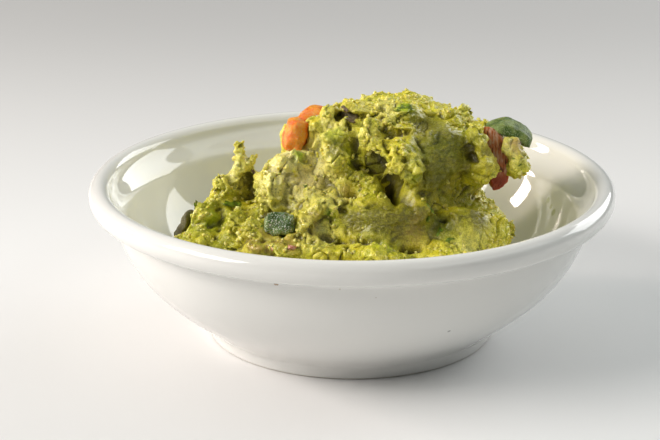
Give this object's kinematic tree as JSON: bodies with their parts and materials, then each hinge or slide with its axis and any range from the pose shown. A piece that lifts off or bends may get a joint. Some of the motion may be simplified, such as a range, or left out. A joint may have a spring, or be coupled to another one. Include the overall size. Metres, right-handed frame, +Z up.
{
  "type": "guacamole in a bowl",
  "caption": "Heap of chunky guacamole with pieces of tomato and green pepper, in a shallow white china bowl with a thick rolled lip and a foot ring.",
  "frame": {"origin": "on the surface it stands on, under the middle of the bowl's foot ring", "axes": "+Z up; -Y is the front, the side with the pepper chunk near the rim; +X is to the right seen from the front, where the heap hangs over"},
  "size_m": [0.159, 0.159, 0.0744],
  "materials": {
    "china": "white glaze, high gloss",
    "mash": "moist crumbly avocado mash, satin with wet highlights",
    "tomato": "wet cut tomato flesh",
    "tomato_skin": "wet red tomato with skin",
    "pepper": "glossy dark green skin",
    "onion": "grey brown translucent flake"
  },
  "bodies": {
    "root": {"bowl": "china", "guacamole": "mash", "tomato_dice": "tomato", "tomato_slice": "tomato", "tomato_wedge": "tomato_skin", "pepper_slice": "pepper", "pepper_chunk": "pepper", "onion_piece": "onion", "skin_flake": "onion"}
  },
  "joints": []
}
